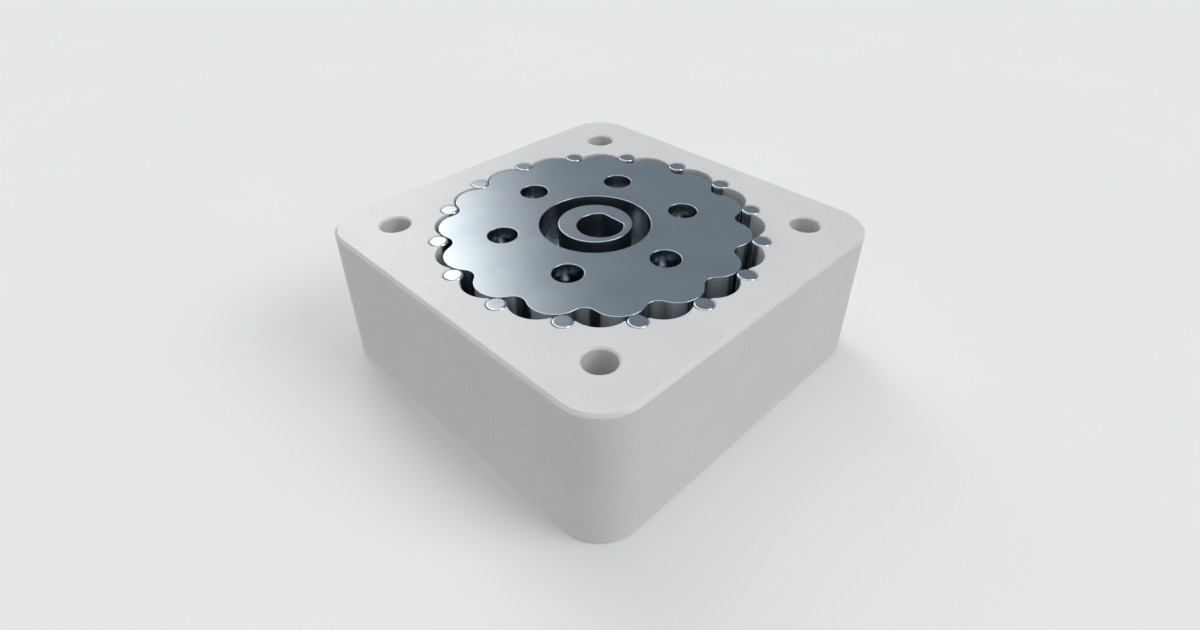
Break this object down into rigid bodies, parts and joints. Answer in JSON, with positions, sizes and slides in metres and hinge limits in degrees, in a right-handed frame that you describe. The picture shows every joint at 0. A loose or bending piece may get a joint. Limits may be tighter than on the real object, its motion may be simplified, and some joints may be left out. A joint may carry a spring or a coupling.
{
  "type": "cycloidal reducer",
  "caption": "Square single-stage cycloidal speed reducer: lobed disc on an eccentric shaft inside a ring of dowel pins, motor face on top, flanged output hub below.",
  "frame": {"origin": "centre of the housing's bottom (output) face, on the main axis", "axes": "+Z along the main axis, from the output face to the motor face; +X and +Y square to the housing's sides; at rest the eccentric points along +Y"},
  "size_m": [0.0426, 0.0426, 0.0158],
  "materials": {
    "housing_polymer": "satin white polymer, machined from plate",
    "dowel_steel": "ground and polished",
    "disc_steel": "ground flat, polished, blue-grey",
    "shaft_steel": "ground and polished",
    "hub_steel": "turned, fine",
    "bearing_steel": "polished",
    "cage_brass": "pressed",
    "shield_steel": "pressed sheet, satin",
    "spring_steel": "black phosphate"
  },
  "bodies": {
    "housing": {"housing": "housing_polymer", "ring_pin_01": "dowel_steel", "ring_pin_02": "dowel_steel", "ring_pin_03": "dowel_steel", "ring_pin_04": "dowel_steel", "ring_pin_05": "dowel_steel", "ring_pin_06": "dowel_steel", "ring_pin_07": "dowel_steel", "ring_pin_08": "dowel_steel", "ring_pin_09": "dowel_steel", "ring_pin_10": "dowel_steel", "ring_pin_11": "dowel_steel", "ring_pin_12": "dowel_steel", "ring_pin_13": "dowel_steel", "ring_pin_14": "dowel_steel", "ring_pin_15": "dowel_steel", "ring_pin_16": "dowel_steel", "main_bearing_outer_ring": "bearing_steel", "main_bearing_shields": "shield_steel", "housing_snap_ring": "spring_steel"},
    "input_shaft": {"eccentric_shaft": "shaft_steel", "disc_bearing_inner_ring": "bearing_steel", "input_bearing_inner_ring": "bearing_steel"},
    "disc": {"cycloid_disc": "disc_steel", "disc_bearing_outer_ring": "bearing_steel", "disc_bearing_shields": "shield_steel"},
    "output": {"output_hub": "hub_steel", "output_pin_1": "dowel_steel", "output_pin_2": "dowel_steel", "output_pin_3": "dowel_steel", "output_pin_4": "dowel_steel", "output_pin_5": "dowel_steel", "output_pin_6": "dowel_steel", "main_bearing_inner_ring": "bearing_steel", "hub_snap_ring": "spring_steel", "input_bearing_outer_ring": "bearing_steel", "input_bearing_shields": "shield_steel"},
    "main_cage": {"main_bearing_balls": "bearing_steel", "main_bearing_cage": "cage_brass"},
    "input_cage": {"input_bearing_balls": "bearing_steel", "input_bearing_cage": "cage_brass"},
    "disc_cage": {"disc_bearing_balls": "bearing_steel", "disc_bearing_cage": "cage_brass"}
  },
  "joints": [
    {"name": "input_spin", "type": "hinge", "parent": "housing", "child": "input_shaft", "pos_m": [0, 0, 0.0158], "axis": [0, 0, 1], "continuous": true},
    {"name": "disc_spin", "type": "hinge", "parent": "input_shaft", "child": "disc", "pos_m": [0, 0.00075, 0.0111], "axis": [0, 0, 1], "continuous": true},
    {"name": "output_spin", "type": "hinge", "parent": "housing", "child": "output", "pos_m": [0, 0, 0.0034], "axis": [0, 0, 1], "continuous": true},
    {"name": "main_cage_spin", "type": "hinge", "parent": "housing", "child": "main_cage", "pos_m": [0, 0, 0.0034], "axis": [0, 0, 1], "continuous": true},
    {"name": "input_cage_spin", "type": "hinge", "parent": "housing", "child": "input_cage", "pos_m": [0, 0, 0.00395], "axis": [0, 0, 1], "continuous": true},
    {"name": "disc_cage_spin", "type": "hinge", "parent": "input_shaft", "child": "disc_cage", "pos_m": [0, 0.00075, 0.00825], "axis": [0, 0, 1], "continuous": true}
  ],
  "couplings": [
    {"joint": "disc_spin", "follows": "input_spin", "ratio": -1.0667},
    {"joint": "output_spin", "follows": "input_spin", "ratio": -0.066667},
    {"joint": "main_cage_spin", "follows": "input_spin", "ratio": -0.030994},
    {"joint": "input_cage_spin", "follows": "input_spin", "ratio": 0.40267},
    {"joint": "disc_cage_spin", "follows": "input_spin", "ratio": -0.59733}
  ]
}
